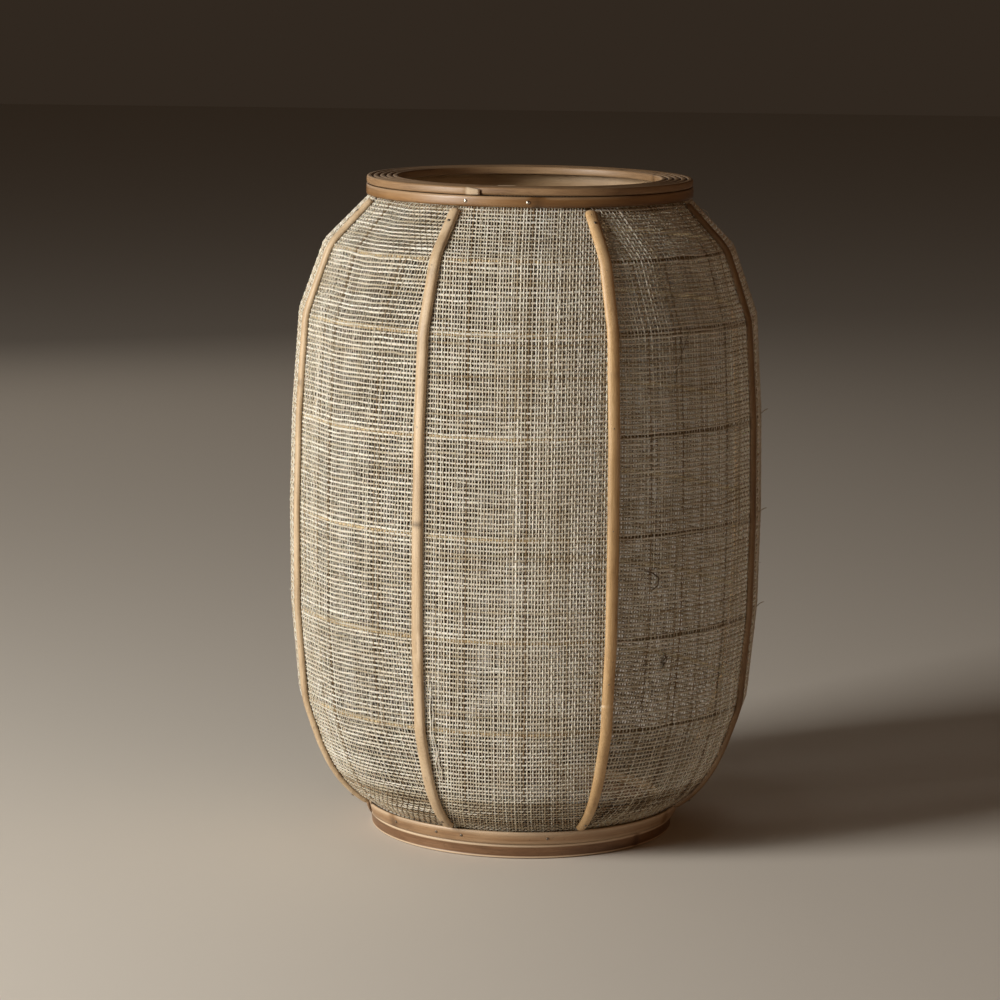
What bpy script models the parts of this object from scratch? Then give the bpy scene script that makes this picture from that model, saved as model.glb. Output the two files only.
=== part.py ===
"""Lamp shade: a barrel of eight flat cane ribs over six round cane rings, with open-weave
cloth panels stretched between the ribs, a coiled cane rim at each end and a three-armed
fitter ring at the bottom.  Axis on Z, underside of the lower rim at z = 0, front at -Y.
Lengths are written in millimetres; MM turns them into metres."""
import math

import bmesh
import bpy
from mathutils import Matrix

MM = 0.001

# ---- driving sizes -------------------------------------------------------------
HEIGHT = 445.0            # underside of the lower coil to the top of the upper coil
BELLY_R = 158.9           # outside radius of the widest ring
RING_IN = (22.1, 5.7, 1.3, 0.0, 0.9, 6.5)       # how far each ring falls short of it, top first
RING_BELOW = (44.5, 90.0, 156.4, 221.5, 288.0, 350.0)      # each ring below the top of the shade
RING_CANE_R = 1.7         # radius of the round cane the rings are bent from
CLOTH_T, CLOTH_GAP = 0.83, 0.42      # cloth, and its clearance from the rings
HEM_GAP, HEM_Z = 0.32, 45.0          # clearance of the turned-in hem, and its top edge
PANEL_GAP_DEG = 0.27      # half the slit between two cloth panels, hidden by a rib
RIB_W, RIB_T = 7.8, 3.2   # rib width and thickness
RIB_SEAT = 0.3            # clearance between rib and cloth
RIB_DEG = (-71.4, -25.9, 20.1, 69.4, 113.2, 157.0, 200.8, 244.7)   # from -Y towards +X
RIB_TOP_END, RIB_LOW_END = 5.2, 3.8  # each end of a rib from the knee of the cloth beside it
NAIL_TOP_IN, NAIL_LOW_IN = 8.1, 6.1  # nails in from the ends of the ribs
TOP_R, BAND_T = 110.0, 2.2
TOP_BAND_H, LOW_BAND_H = 6.9, 8.9
TOP_BAND_GAP, LOW_BAND_GAP = 0.4, 0.5     # clearance between band and coil
LOW_BAND_R, LOW_BAND_FOOT_R = 109.0, 106.5
KNEE_GAP = 0.8807         # cloth behind the foot of the top band
COIL_W, COIL_GAP = 4.0, 0.36         # coil cane, and the slit between two turns
TOP_TURNS, LOW_TURNS = 5, 3
TOP_COIL_H, LOW_COIL_H = 5.2, 9.7
TOP_COIL_IN, LOW_COIL_IN = 0.3, 3.5  # coils inside the outer faces of the bands
LOW_COIL_LEAN = 0.15      # the lower coil leans out going up
HOOP_T, LOW_HOOP_H = 3.7, 6.8
FITTER_BORE_R, FITTER_R, FITTER_T = 21.0, 31.0, 2.2
ARM_W, TAB_T, ARM_GAP = 8.0, 2.1, 0.6
ARM_DEG = (180.0, 300.0, 60.0)
SCREW_UP, SCREW_HOLE_R = 3.3, 1.8
NAIL_HOLE_R = 0.9

# ---- places that follow from them ------------------------------------------------
RING_R = tuple(BELLY_R - short for short in RING_IN)
RING_Z = tuple(HEIGHT - below for below in RING_BELOW)
COIL_PITCH = COIL_W + COIL_GAP
CLOTH_MID = CLOTH_GAP + 0.5 * CLOTH_T       # middle of the cloth, measured out from the rings
CLOTH_OUT = CLOTH_GAP + CLOTH_T             # its outer face
HEM_STEP = CLOTH_T + HEM_GAP                # middle of the cloth to the middle of its hem
RIM_TOP, RIM_LOW = HEIGHT - TOP_COIL_H - TOP_BAND_GAP, LOW_COIL_H + LOW_BAND_GAP
TOP_BAND_Z = (RIM_TOP - TOP_BAND_H, RIM_TOP)
LOW_BAND_Z = (RIM_LOW, RIM_LOW + LOW_BAND_H)

# The shell line (z, r) touches the outside of every ring; cloth and ribs follow it.
# Behind the top band it bends in; the faster the shoulder widens, the further in it bends.
SHOULDER = (RING_R[0] - TOP_R) / (TOP_BAND_Z[0] - RING_Z[0])
TOP_KNEE = (TOP_BAND_Z[0] + 1.3,
            TOP_R - BAND_T - 1.3 * SHOULDER - CLOTH_OUT * math.hypot(1.0, SHOULDER) - KNEE_GAP)
TOP_EDGE = (RIM_TOP - 0.6, TOP_KNEE[1] - 0.6)
LOW_KNEE = (LOW_BAND_Z[1] + 0.5, LOW_BAND_R - BAND_T - CLOTH_OUT - 1.55)
LOW_EDGE = (RIM_LOW + 1.0, LOW_BAND_FOOT_R - BAND_T - CLOTH_OUT - 0.25)
# Under the lowest ring the line rounds in; the curve is drawn 48.4 wide and fitted to its ends.
LOW_BEND = (RING_R[-1] - LOW_KNEE[1]) / 48.4
LOW_CURVE = [(LOW_KNEE[0] + up, LOW_KNEE[1] + out * LOW_BEND)
             for up, out in ((59.4, 43.0), (44.4, 37.7), (30.4, 31.0), (18.9, 23.2), (8.9, 13.3))]
BARREL = list(zip(RING_Z, RING_R)) + LOW_CURVE
SHELL = [TOP_EDGE, TOP_KNEE] + BARREL + [LOW_KNEE, LOW_EDGE]
RIB_TOP_Z, RIB_LOW_Z = TOP_KNEE[0] - RIB_TOP_END, LOW_KNEE[0] + RIB_LOW_END
NAIL_TOP_Z, NAIL_LOW_Z = RIB_TOP_Z - NAIL_TOP_IN, RIB_LOW_Z + NAIL_LOW_IN
TOP_HOOP_R = TOP_EDGE[1] + CLOTH_GAP - 0.92
LOW_HOOP_R = LOW_EDGE[1] + CLOTH_GAP - HEM_STEP - 0.77
TOP_HOOP_Z = (TOP_BAND_Z[0] - 5.0, RIM_TOP - 0.4)
LOW_HOOP_Z = (RIM_LOW, RIM_LOW + LOW_HOOP_H)
FITTER_Z = LOW_HOOP_Z[1] + 0.6       # underside of the fitter ring, over the hoop
ARM_REACH = LOW_HOOP_R - HOOP_T - ARM_GAP
TAB_FOOT_Z, SCREW_Z = RIM_LOW + 0.2, RIM_LOW + SCREW_UP


# ---- helpers -------------------------------------------------------------------
def material(name, colour, roughness, metallic=0.0):
    mat = bpy.data.materials.new(name)
    mat.use_nodes = True
    shader = mat.node_tree.nodes["Principled BSDF"]
    shader.inputs["Base Color"].default_value = (*colour, 1.0)
    shader.inputs["Roughness"].default_value = roughness
    shader.inputs["Metallic"].default_value = metallic
    mat.diffuse_color = (*colour, 1.0)
    return mat


def place(name, data, mat=None, deg=90.0, radius=0.0, z=0.0, tilt=0.0, bin_=None):
    """Object whose local +X points outwards at deg (from -Y towards +X)."""
    obj = bpy.data.objects.new(name, data)
    turn = math.radians(deg - 90.0)
    obj.location = (radius * math.cos(turn) * MM, radius * math.sin(turn) * MM, z * MM)
    obj.rotation_euler = (0.0, tilt, turn)
    (bin_ or shade).objects.link(obj)
    if mat and not data.materials:
        data.materials.append(mat)
    return obj


def outline_mesh(name, points, closed):
    """Edge-only profile in the XZ plane, from (radius, z) points."""
    mesh = bpy.data.meshes.new(name)
    n = len(points)
    edges = [(i, (i + 1) % n) for i in range(n if closed else n - 1)]
    mesh.from_pydata([(r * MM, 0.0, z * MM) for r, z in points], edges, [])
    return mesh


def turned(obj, steps, angle=2.0 * math.pi):
    screw = obj.modifiers.new("turn", "SCREW")
    screw.axis = "Z"
    screw.angle = angle
    screw.steps = screw.render_steps = steps
    screw.use_smooth_shade = True
    screw.use_merge_vertices = True
    screw.merge_threshold = 1e-5
    return obj


def cutter(name, data, deg, radius, z, tilt):
    obj = place(name, data, None, deg, radius, z, tilt, cutters)
    obj.hide_render = True
    obj.display_type = "WIRE"
    return obj


def boolean(obj, tool, operation):
    mod = obj.modifiers.new(tool.name, "BOOLEAN")
    mod.operation = operation
    mod.solver = "EXACT"
    mod.object = tool


def cylinder_mesh(name, radius, low, high, segments):
    work = bmesh.new()
    bmesh.ops.create_cone(work, cap_ends=True, segments=segments, radius1=radius * MM,
                          radius2=radius * MM, depth=(high - low) * MM)
    bmesh.ops.translate(work, verts=work.verts, vec=(0.0, 0.0, 0.5 * (low + high) * MM))
    mesh = bpy.data.meshes.new(name)
    work.to_mesh(mesh)
    work.free()
    return mesh


def bar_mesh(name, outline, width):
    """Flat outline of (x, z) points extruded evenly either side of the XZ plane."""
    work = bmesh.new()
    side = [work.verts.new((x * MM, -0.5 * width * MM, z * MM)) for x, z in outline]
    grown = bmesh.ops.extrude_face_region(work, geom=[work.faces.new(side)])["geom"]
    bmesh.ops.translate(work, verts=[v for v in grown if isinstance(v, bmesh.types.BMVert)],
                        vec=(0.0, width * MM, 0.0))
    bmesh.ops.recalc_face_normals(work, faces=work.faces)
    mesh = bpy.data.meshes.new(name)
    work.to_mesh(mesh)
    work.free()
    return mesh


def swept(name, path, section, tapers=None):
    """Mesh of a flat curve (u, v) swept with a closed section and capped at both ends."""
    shape = bpy.data.curves.new(name + "_section", "CURVE")
    shape.dimensions = "2D"
    shape.fill_mode = "NONE"
    loop = shape.splines.new("POLY")
    loop.points.add(len(section) - 1)
    for point, (u, v) in zip(loop.points, section):
        point.co = (u * MM, v * MM, 0.0, 1.0)
    loop.use_cyclic_u = True
    guide = bpy.data.objects.new(name + "_section", shape)
    cutters.objects.link(guide)
    curve = bpy.data.curves.new(name + "_path", "CURVE")
    curve.dimensions = "2D"
    curve.fill_mode = "NONE"
    curve.bevel_mode = "OBJECT"
    curve.bevel_object = guide
    curve.use_fill_caps = True
    line = curve.splines.new("POLY")
    line.points.add(len(path) - 1)
    for i, (point, (u, v)) in enumerate(zip(line.points, path)):
        point.co = (u * MM, v * MM, 0.0, 1.0)
        point.radius = tapers[i] if tapers else 1.0
    rail = bpy.data.objects.new(name + "_path", curve)
    cutters.objects.link(rail)
    bpy.context.view_layer.update()
    mesh = bpy.data.meshes.new_from_object(rail.evaluated_get(bpy.context.evaluated_depsgraph_get()))
    mesh.name = name
    work = bmesh.new()
    work.from_mesh(mesh)
    bmesh.ops.remove_doubles(work, verts=work.verts, dist=1e-6)
    bmesh.ops.recalc_face_normals(work, faces=work.faces)
    work.to_mesh(mesh)
    work.free()
    bpy.data.objects.remove(rail)
    bpy.data.objects.remove(guide)
    return mesh


def mitres(line):
    """Outward offset (dz, dr) for one unit of thickness at each point of a (z, r) line."""
    normals = []
    for (z0, r0), (z1, r1) in zip(line, line[1:]):
        size = math.hypot(z1 - z0, r1 - r0)
        normals.append(((r1 - r0) / size, (z0 - z1) / size))
    out = []
    for i in range(len(line)):
        a, b = normals[max(i - 1, 0)], normals[min(i, len(normals) - 1)]
        s = (a[0] + b[0], a[1] + b[1])
        dot = s[0] * a[0] + s[1] * a[1]
        out.append((s[0] / dot, s[1] / dot))
    return out


def offset(line, t):
    return [(z + mz * t, r + mr * t) for (z, r), (mz, mr) in zip(line, mitres(line))]


def on_shell(z):
    """Point (z, r) of the shell line at a height, and the outward normal (nz, nr) there."""
    for (z0, r0), (z1, r1) in zip(SHELL, SHELL[1:]):
        if z1 <= z <= z0:
            size = math.hypot(z1 - z0, r1 - r0)
            return (z, r0 + (z0 - z) / (z0 - z1) * (r1 - r0)), ((r1 - r0) / size, (z0 - z1) / size)
    return SHELL[-1], (0.0, 1.0)


def smooth(x):
    x = min(max(x, 0.0), 1.0)
    return x * x * (3.0 - 2.0 * x)


# ---- scene and materials -------------------------------------------------------
for old in list(bpy.data.objects):
    bpy.data.objects.remove(old)
shade = bpy.data.collections.new("lamp_shade")
cutters = bpy.data.collections.new("cutters_and_guides")
for group in (shade, cutters):
    bpy.context.scene.collection.children.link(group)

cane = material("cane_rib", (0.60, 0.42, 0.24), 0.45)
cane_dark = material("cane_band", (0.47, 0.28, 0.13), 0.4)
cane_coil = material("cane_coil", (0.56, 0.38, 0.21), 0.45)
cane_low = material("cane_low_coil", (0.38, 0.23, 0.14), 0.5)
cane_ring = material("cane_ring", (0.66, 0.52, 0.30), 0.5)
cane_hoop = material("cane_hoop", (0.60, 0.44, 0.27), 0.55)
linen = material("open_weave_cloth", (0.80, 0.76, 0.68), 0.9)
wire = material("plated_steel", (0.62, 0.62, 0.60), 0.35, 1.0)
steel = material("nail_steel", (0.36, 0.32, 0.28), 0.4, 1.0)


# ---- coils: a flat spiral whose level turns step inwards together at the seam -----
def coil(name, outer_r, z, height, turns, seam_deg, lean, mat, per_turn=32):
    path, tapers = [], []
    total = turns * per_turn - 1
    for i in range(total + 1):
        turn, part = divmod(i, per_turn)
        r = outer_r - COIL_PITCH * (turn + smooth((part / per_turn - 0.86) / 0.13))
        last = total - i
        scale = (0.3, 0.6, 0.85)[i] if i < 3 else (0.3, 0.6, 0.85)[last] if last < 3 else 1.0
        if last < 3:
            r -= COIL_W * (1.0 - scale)
        angle = math.radians(seam_deg - 90.0 - 360.0 * i / per_turn)
        path.append((r * math.cos(angle), r * math.sin(angle)))
        tapers.append(scale)
    crown, w = 0.24 * height, COIL_W
    section = [(-w, 0.0), (0.0, 0.0), (0.0, height - crown), (-0.27 * w, height),
               (-0.73 * w, height), (-w, height - crown)]
    section = [(u + lean * v, v) for u, v in section]
    obj = place(name, swept(name, path, [(-u, v) for u, v in section], tapers), mat, z=z)
    return obj


coil("top_coil", TOP_R - TOP_COIL_IN, HEIGHT - TOP_COIL_H, TOP_COIL_H, TOP_TURNS, -18.0, 0.0, cane_coil)
coil("bottom_coil", LOW_BAND_FOOT_R - LOW_COIL_IN, 0.0, LOW_COIL_H, LOW_TURNS, 150.0, LOW_COIL_LEAN, cane_low)


# ---- bands: flat hoops whose two thinned ends lie one over the other -------------
def lapped_band(name, top_r, foot_r, z0, z1, seam_deg, mat, steps=64, lap=3):
    """A loft, because the section changes from full thickness to each thinned end."""
    half, total = 0.5 * BAND_T - 0.16, steps + lap
    points, faces = [], []
    for i in range(total + 1):
        low = BAND_T - half if i >= steps else 0.0
        high = half if i <= lap else BAND_T
        ease = 0.4 if i == 0 else -1.6 if i == total else 0.0
        a = math.radians(seam_deg - 90.0 + 360.0 * i / steps + ease)
        for r, z in ((foot_r - BAND_T + low, z0), (foot_r - BAND_T + high, z0),
                     (top_r - BAND_T + high, z1), (top_r - BAND_T + low, z1)):
            points.append((r * math.cos(a) * MM, r * math.sin(a) * MM, z * MM))
        if i:
            k = 4 * i
            faces += [(k - 4 + j, k - 4 + (j + 1) % 4, k + (j + 1) % 4, k + j) for j in range(4)]
    faces += [(3, 2, 1, 0), tuple(4 * total + j for j in range(4))]
    mesh = bpy.data.meshes.new(name)
    mesh.from_pydata(points, [], faces)
    work = bmesh.new()
    work.from_mesh(mesh)
    bmesh.ops.recalc_face_normals(work, faces=work.faces)
    work.to_mesh(mesh)
    work.free()
    return place(name, mesh, mat)


top_band = lapped_band("top_band", TOP_R, TOP_R, *TOP_BAND_Z, 150.0, cane_dark)
low_band = lapped_band("bottom_band", LOW_BAND_R, LOW_BAND_FOOT_R, *LOW_BAND_Z, -90.0, cane_dark)

# ---- inner hoops, turned from a rectangle ---------------------------------------
def hoop(name, outer_r, z_span):
    (z0, z1), inner_r = z_span, outer_r - HOOP_T
    outline = ((outer_r, z1), (outer_r, z0), (inner_r, z0), (inner_r, z1))
    return turned(place(name, outline_mesh(name, outline, True), cane_hoop), 64)


hoop("top_inner_hoop", TOP_HOOP_R, TOP_HOOP_Z)
low_hoop = hoop("bottom_inner_hoop", LOW_HOOP_R, LOW_HOOP_Z)

# ---- rings: each touches the shell line from inside ------------------------------
for n, (mz, mr) in enumerate(mitres(SHELL)[2:8]):
    bpy.ops.mesh.primitive_torus_add(
        major_segments=42, minor_segments=6,
        major_radius=(RING_R[n] - mr * RING_CANE_R) * MM, minor_radius=RING_CANE_R * MM,
        location=(0.0, 0.0, (RING_Z[n] - mz * RING_CANE_R) * MM))
    ring = bpy.context.object
    ring.name = ring.data.name = "ring_%d" % (n + 1)
    ring.data.materials.append(cane_ring)
    ring.data.shade_smooth()
    for group in list(ring.users_collection):
        group.objects.unlink(ring)
    shade.objects.link(ring)

# ---- cloth: the shell line with its lower edge folded up inside, turned and thickened
fold = [(z, r) for z, r in SHELL if z < HEM_Z]
hem_top = on_shell(HEM_Z)[0]
outer_layer = offset(SHELL, CLOTH_MID)
inner_layer = offset([hem_top] + fold, CLOTH_MID - HEM_STEP)[::-1]
z_low, r_out, r_in = LOW_EDGE[0] - 0.45, outer_layer[-1][1], inner_layer[0][1]
u_turn = [(z_low, r_out - 0.3), (z_low, r_in + 0.3)]
cloth_line = [(r, z) for z, r in outer_layer + u_turn + inner_layer]
for n, start in enumerate(RIB_DEG):
    end = RIB_DEG[n + 1] if n + 1 < len(RIB_DEG) else RIB_DEG[0] + 360.0
    label = "cloth_panel_%d" % (n + 1)
    panel = place(label, outline_mesh(label, cloth_line, False), linen, start + PANEL_GAP_DEG)
    turned(panel, 6, math.radians(end - start - 2.0 * PANEL_GAP_DEG))
    body = panel.modifiers.new("thickness", "SOLIDIFY")
    body.thickness = CLOTH_T * MM
    body.offset = 0.0
    body.use_even_offset = True

# ---- ribs: one bent cane with a D section, repeated round the barrel -------------
first = CLOTH_MID + 0.5 * CLOTH_T + RIB_SEAT
rib_line = [on_shell(RIB_TOP_Z)[0]] + BARREL + [on_shell(RIB_LOW_Z)[0]]
h = 0.5 * RIB_W
rib_section = [(0.0, -h), (0.0, h), (0.5 * RIB_T, h), (RIB_T, 0.52 * h),
               (RIB_T, -0.52 * h), (0.5 * RIB_T, -h)]
rib_mesh = swept("rib", [(r, z) for z, r in offset(rib_line, first)],
                 [(-u, v) for u, v in rib_section])
rib_mesh.transform(Matrix.Rotation(math.radians(90.0), 4, "X"))

nail_profile = ((0.0, 0.8), (0.6, 0.8), (1.25, 0.5), (1.25, 0.2), (0.6, 0.2), (0.6, -1.4),
                (0.0, -1.75))
nail_mesh = outline_mesh("nail", nail_profile, False)
nail_mesh.materials.append(steel)
bit_mesh = cylinder_mesh("nail_bit", NAIL_HOLE_R, -2.1, 1.5, 6)
through_bit = cylinder_mesh("band_bit", NAIL_HOLE_R, -3.5, 1.5, 6)


def nail(name, host, deg, radius, z, normal, bit):
    """Nail with its head just clear of the surface, and its hole in the host."""
    tilt = math.atan2(normal[1], normal[0])
    turned(place(name, nail_mesh, None, deg, radius, z, tilt), 6)
    boolean(host, cutter("hole_" + name, bit, deg, radius, z, tilt), "DIFFERENCE")


for n, deg in enumerate(RIB_DEG):
    rib = place("rib_%d" % (n + 1), rib_mesh.copy(), cane, deg)
    for label, height in (("top", NAIL_TOP_Z), ("low", NAIL_LOW_Z)):
        (z, r), (nz, nr) = on_shell(height)
        reach = first + RIB_T
        nail("nail_rib_%s_%d" % (label, n + 1), rib, deg, r + nr * reach, z + nz * reach,
             (nz, nr), bit_mesh)
bpy.data.meshes.remove(rib_mesh)
for n, deg in enumerate((-22.5, -0.9)):
    nail("nail_top_band_%d" % (n + 1), top_band, deg, TOP_R, TOP_BAND_Z[0] + 3.5,
         (0.0, 1.0), through_bit)
for n, deg in enumerate((-51.7, -32.0, -22.0, 9.0)):
    nail("nail_bottom_band_%d" % (n + 1), low_band, deg, 0.5 * (LOW_BAND_R + LOW_BAND_FOOT_R),
         0.5 * sum(LOW_BAND_Z), (-0.27, 0.96), through_bit)

# ---- fitter: flat ring, three flat arms turned down at the end, three screws -----
fitter = place("fitter", cylinder_mesh("fitter", FITTER_R, 0.0, FITTER_T, 48), wire, z=FITTER_Z)
bore = cutter("fitter_bore", cylinder_mesh("bore", FITTER_BORE_R, -3.0, 6.0, 48),
              90.0, 0.0, FITTER_Z, 0.0)
arm_mesh = bar_mesh("arm", ((26.0, FITTER_Z), (ARM_REACH - TAB_T, FITTER_Z),
                            (ARM_REACH - TAB_T, TAB_FOOT_Z), (ARM_REACH, TAB_FOOT_Z),
                            (ARM_REACH, FITTER_Z + FITTER_T), (26.0, FITTER_Z + FITTER_T)), ARM_W)
screw_mesh = outline_mesh("screw", ((0.0, 2.0), (1.7, 2.0), (2.9, 1.2), (2.9, 0.3), (1.5, 0.3),
                                    (1.5, -4.3), (0.0, -5.0)), False)
screw_mesh.materials.append(steel)
tab_bit = cylinder_mesh("tab_bit", SCREW_HOLE_R, -2.7, 1.0, 12)
hoop_bit = cylinder_mesh("hoop_bit", SCREW_HOLE_R, -5.4, -1.5, 12)
boolean(fitter, bore, "DIFFERENCE")
for n, deg in enumerate(ARM_DEG):
    tag = "_%d" % (n + 1)
    boolean(fitter, cutter("arm" + tag, arm_mesh, deg, 0.0, 0.0, 0.0), "UNION")
for n, deg in enumerate(ARM_DEG):
    tag = "_%d" % (n + 1)
    spot = (deg, ARM_REACH - TAB_T, SCREW_Z, math.radians(-90.0))
    turned(place("fitter_screw" + tag, screw_mesh, None, *spot), 12)
    boolean(fitter, cutter("tab_hole" + tag, tab_bit, *spot), "DIFFERENCE")
    boolean(low_hoop, cutter("hoop_hole" + tag, hoop_bit, *spot), "DIFFERENCE")
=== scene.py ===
"""Looks of the lamp shade: woven yarn panels, split-cane ribs, bands, coils and rings."""
import math

import bpy
import numpy as np
from mathutils import Matrix


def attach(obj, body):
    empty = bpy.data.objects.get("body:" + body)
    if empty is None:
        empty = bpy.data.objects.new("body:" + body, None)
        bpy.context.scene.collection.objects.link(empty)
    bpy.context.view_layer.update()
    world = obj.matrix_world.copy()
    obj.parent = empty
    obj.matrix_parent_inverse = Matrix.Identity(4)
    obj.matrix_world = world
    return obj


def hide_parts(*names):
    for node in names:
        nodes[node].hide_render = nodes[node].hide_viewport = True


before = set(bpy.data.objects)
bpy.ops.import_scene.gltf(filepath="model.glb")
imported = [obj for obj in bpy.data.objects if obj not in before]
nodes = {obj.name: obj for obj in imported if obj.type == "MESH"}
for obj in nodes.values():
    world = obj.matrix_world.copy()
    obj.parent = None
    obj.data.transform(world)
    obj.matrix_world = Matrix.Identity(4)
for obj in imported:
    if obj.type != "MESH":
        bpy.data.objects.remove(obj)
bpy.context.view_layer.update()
MM = 0.001

# ---- sizes shared with the CAD, in millimetres -----------------------------------
RING_R = (136.8, 153.2, 157.6, 158.9, 158.0, 152.4)
RING_Z = (400.5, 355.0, 288.6, 223.5, 157.0, 95.0)
CANE_R = 1.7
CLOTH_MID, HEM_STEP, HEM_Z = 0.835, 1.15, 45.0
RIB_DEG = (-71.4, -25.9, 20.1, 69.4, 113.2, 157.0, 200.8, 244.7)
RIB_W, RIB_T, RIB_FIRST = 7.8, 3.2, 1.55
RIB_TOP_Z, RIB_LOW_Z = 428.6, 23.4
# the line (z, r) that touches the outside of every ring; cloth and ribs follow it
SHELL = [(438.8, 103.6), (433.8, 104.2)] + list(zip(RING_Z, RING_R)) + [
    (79.0, 147.0), (64.0, 141.7), (50.0, 135.0), (38.5, 127.2), (28.5, 117.3),
    (19.6, 104.0), (11.2, 102.8)]
TOP_R, BAND_T = 110.0, 2.2
TOP_BAND_Z, LOW_BAND_Z = (432.5, 439.4), (10.2, 19.1)
LOW_BAND_R, LOW_BAND_FOOT_R = 109.0, 106.5
COIL_W, COIL_PITCH = 4.0, 4.36
TOP_COIL_Z, TOP_COIL_H, TOP_TURNS = 439.8, 5.2, 5
LOW_COIL_R, LOW_COIL_H, LOW_TURNS = 103.0, 9.7, 3
TOP_HOOP, LOW_HOOP = (99.4, 103.1, 427.5, 439.0), (97.6, 101.3, 10.2, 17.0)     # r, r, z, z
RIB_NAIL_Z = (("top", 420.5), ("low", 29.5))
TOP_TACK_Z, TOP_TACK_DEG = 436.0, (-22.5, -0.9)
LOW_TACK_R, LOW_TACK_Z, LOW_TACK_DEG = 107.75, 14.65, (-51.7, -32.0, -22.0, 9.0)
ARM_DEG, SCREW_R, SCREW_Z = (180.0, 300.0, 60.0), 94.9, 13.5

# ---- sizes of the cloth, in millimetres ------------------------------------------
WEFT = 3.07                                             # rows of yarn round the shade
WARP = (2.3, 1.93, 2.5, 2.2, 2.1, 2.2, 2.1, 2.2)        # upright yarns, by panel


# ---- geometry helpers --------------------------------------------------------------
def line_through(points, window, step=0.5):
    """Even-stepped (z, r) line through points, its corners rounded over +-window."""
    p = np.array(points, float)
    run = np.r_[0.0, np.cumsum(np.hypot(*np.diff(p, axis=0).T))]
    s = np.arange(0.0, run[-1] + step, step)
    z, r = np.interp(s, run, p[:, 0]), np.interp(s, run, p[:, 1])
    half = int(window / step)
    if half:
        kernel = np.hanning(2 * half + 3)[1:-1]
        kernel /= kernel.sum()
        ends = [np.r_[2 * v[0] - v[half:0:-1], v, 2 * v[-1] - v[-2:-half - 2:-1]] for v in (z, r)]
        z, r = (np.convolve(v, kernel, "valid") for v in ends)
    dz, dr = np.gradient(z, s), np.gradient(r, s)
    size = np.hypot(dz, dr)
    return s, z, r, dr / size, -dz / size          # s, z, r, normal z, normal r


def polar(r, deg, z):
    a = np.radians(deg)
    return np.stack(np.broadcast_arrays(r * np.sin(a), -r * np.cos(a), z), -1)


def unit(v):
    return v / np.maximum(np.linalg.norm(v, axis=-1, keepdims=True), 1e-12)


def tube(centre, out, section, closed=False):
    """Vertices and quads of a section (n, k, 2) of (side, out) swept along centre (n, 3)."""
    n = len(centre)
    section = np.broadcast_to(section, (n,) + np.shape(section)[-2:])
    k = section.shape[1]
    if closed:
        ahead = unit(np.roll(centre, -1, 0) - np.roll(centre, 1, 0))
    else:
        ahead = unit(np.gradient(centre, axis=0))
    side = unit(np.cross(ahead, out))
    up = np.cross(side, ahead)
    verts = centre[:, None] + side[:, None] * section[..., :1] + up[:, None] * section[..., 1:]
    i, j = np.meshgrid(np.arange(n if closed else n - 1), np.arange(k), indexing="ij")
    a, b = i * k + j, i * k + (j + 1) % k
    c, d = ((i + 1) % n) * k + (j + 1) % k, ((i + 1) % n) * k + j
    quads = np.stack([a, b, c, d], -1).reshape(-1, 4)
    faces = quads.tolist()
    if not closed:
        faces += [list(range(k - 1, -1, -1)), list(range((n - 1) * k, n * k))]
    return verts.reshape(-1, 3), faces


def mesh_object(name, verts, quads, mat, tint=None, replaces=(), smooth=True):
    mesh = bpy.data.meshes.new(name)
    mesh.from_pydata((np.asarray(verts) * MM).tolist(), [], quads)
    layer = mesh.attributes.new("tint", "FLOAT", "POINT")
    layer.data.foreach_set("value", np.asarray(
        np.broadcast_to(0.5 if tint is None else tint, len(verts)), np.float32))
    mesh.polygons.foreach_set("use_smooth", [smooth] * len(mesh.polygons))
    mesh.materials.append(mat)
    mesh.update()
    obj = bpy.data.objects.new(name, mesh)
    bpy.context.scene.collection.objects.link(obj)
    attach(obj, "root")
    if replaces:
        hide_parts(*replaces)
    return obj


def wander(rng, n, size, reach):
    """Smooth random walk of n values with about that size, changing over `reach` steps."""
    coarse = rng.randn(int(n / reach) + 4)
    at = np.linspace(1.0, len(coarse) - 2.0, n)
    low = at.astype(int)
    f = at - low
    f = f * f * (3 - 2 * f)
    return size * (coarse[low] * (1 - f) + coarse[np.minimum(low + 1, len(coarse) - 1)] * f)


def rounded(w, h, r, n=3):
    """Outline of a w by h rectangle with rounded corners, side centred, out from 0 to h."""
    pts = []
    for cx, cy, start in ((w / 2 - r, r, -90), (w / 2 - r, h - r, 0), (-w / 2 + r, h - r, 90),
                          (-w / 2 + r, r, 180)):
        for t in np.linspace(0, 90, n):
            a = math.radians(start + t)
            pts.append((cx + r * math.cos(a), cy + r * math.sin(a)))
    return np.array(pts)


# ---- materials ---------------------------------------------------------------------
def new_material(name):
    mat = bpy.data.materials.new(name)
    mat.use_nodes = True
    tree = mat.node_tree
    return mat, tree, tree.nodes["Principled BSDF"]


def node(tree, kind, **values):
    made = tree.nodes.new(kind)
    for key, value in values.items():
        if key.startswith("in_"):
            made.inputs[int(key[3:])].default_value = value
        else:
            setattr(made, key, value)
    return made


def ramp(tree, source, stops):
    made = node(tree, "ShaderNodeValToRGB")
    while len(made.color_ramp.elements) < len(stops):
        made.color_ramp.elements.new(0.5)
    for element, (at, colour) in zip(made.color_ramp.elements, stops):
        element.position = at
        element.color = (*colour, 1.0)
    tree.links.new(source, made.inputs["Fac"])
    return made.outputs["Color"]


def mixed(tree, factor, a, b, blend="MIX"):
    made = node(tree, "ShaderNodeMix", data_type="RGBA", blend_type=blend)
    for socket, value in ((made.inputs[0], factor), (made.inputs[6], a), (made.inputs[7], b)):
        if isinstance(value, (int, float)):
            socket.default_value = value
        elif isinstance(value, tuple):
            socket.default_value = (*value, 1.0)
        else:
            tree.links.new(value, socket)
    return made.outputs[2]


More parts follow.
